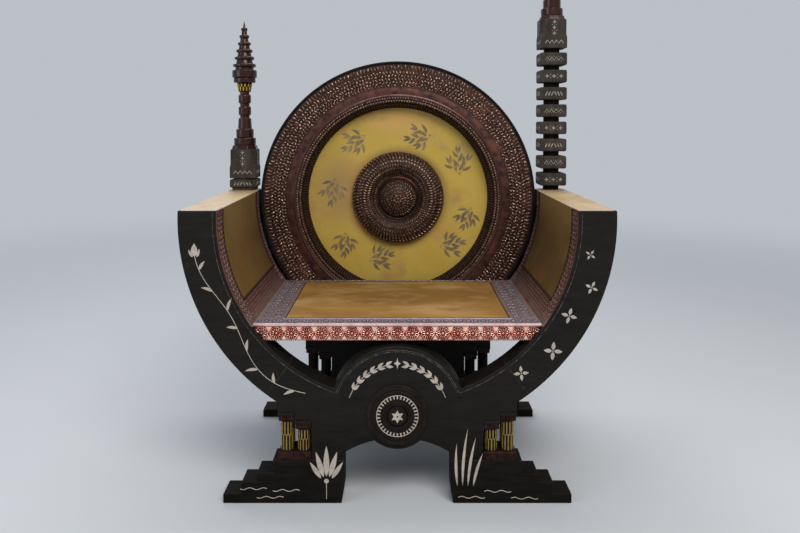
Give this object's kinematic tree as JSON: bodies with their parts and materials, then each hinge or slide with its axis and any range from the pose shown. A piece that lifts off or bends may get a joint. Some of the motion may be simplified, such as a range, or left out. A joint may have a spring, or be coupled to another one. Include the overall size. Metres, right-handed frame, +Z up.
{
  "type": "throne armchair",
  "caption": "Ebonised throne armchair with U-shaped frames on stepped feet, boxed arms, a slung seat, a round copper-clad back and two unlike posts.",
  "frame": {"origin": "centre of the footprint, on the floor", "axes": "+Z up, the front faces -Y, +X to the right of a person who looks at the front"},
  "size_m": [1, 0.5784, 1.5559],
  "materials": {
    "ebonised_wood": "ebonised wood, satin",
    "turned_wood": "dark red-brown turned wood, polished",
    "striped_wood": "black turned wood with brass stripes",
    "post_wood": "grey-black stained wood, satin",
    "parchment": "stained parchment on board",
    "dark_copper": "dark patinated copper, worked in relief",
    "red_copper": "bright red copper, worked in relief",
    "pewter_sheet": "pewter sheet, worked in relief",
    "pewter_inlay": "pale inlay",
    "dowel_wood": "plain beech dowel",
    "screw_brass": "brass wood screws"
  },
  "bodies": {
    "root": {"front_bow_left": "ebonised_wood", "front_bow_right": "ebonised_wood", "front_yoke": "ebonised_wood", "front_foot_left": "ebonised_wood", "front_foot_right": "ebonised_wood", "rear_bow_left": "ebonised_wood", "rear_bow_right": "ebonised_wood", "rear_yoke": "ebonised_wood", "rear_foot_left": "ebonised_wood", "rear_foot_right": "ebonised_wood", "front_bases": "turned_wood", "front_shafts": "striped_wood", "front_capitals": "turned_wood", "front_abaci": "ebonised_wood", "rear_bases": "turned_wood", "rear_shafts": "striped_wood", "rear_capitals": "turned_wood", "rear_abaci": "ebonised_wood", "front_medallion": "ebonised_wood", "front_tick_ring": "pewter_inlay", "front_star": "pewter_inlay", "rear_medallion": "ebonised_wood", "rear_tick_ring": "pewter_inlay", "rear_star": "pewter_inlay", "hub_stretcher": "ebonised_wood", "arm_inner_left": "ebonised_wood", "arm_inner_right": "ebonised_wood", "arm_outer_left": "ebonised_wood", "arm_outer_right": "ebonised_wood", "arm_soles": "ebonised_wood", "arm_cap_left": "parchment", "arm_cap_right": "parchment", "arm_border_left": "dark_copper", "arm_border_right": "dark_copper", "arm_panel_left": "parchment", "arm_panel_right": "parchment", "seat_board": "ebonised_wood", "seat_border": "pewter_sheet", "seat_panel": "parchment", "seat_apron": "red_copper", "seat_battens": "ebonised_wood", "back_board": "ebonised_wood", "back_rim": "ebonised_wood", "back_copper": "dark_copper", "back_bead": "dark_copper", "back_throat": "dark_copper", "back_parchment": "parchment", "back_boss": "dark_copper", "back_dome": "dark_copper", "back_rails": "ebonised_wood", "left_plate": "post_wood", "left_block": "post_wood", "right_rod": "ebonised_wood", "right_plates": "post_wood", "right_block": "post_wood", "finial_stems": "turned_wood", "finial_collars": "striped_wood", "finial_crowns": "turned_wood", "dowels": "dowel_wood", "wood_screws": "screw_brass"}
  },
  "joints": []
}
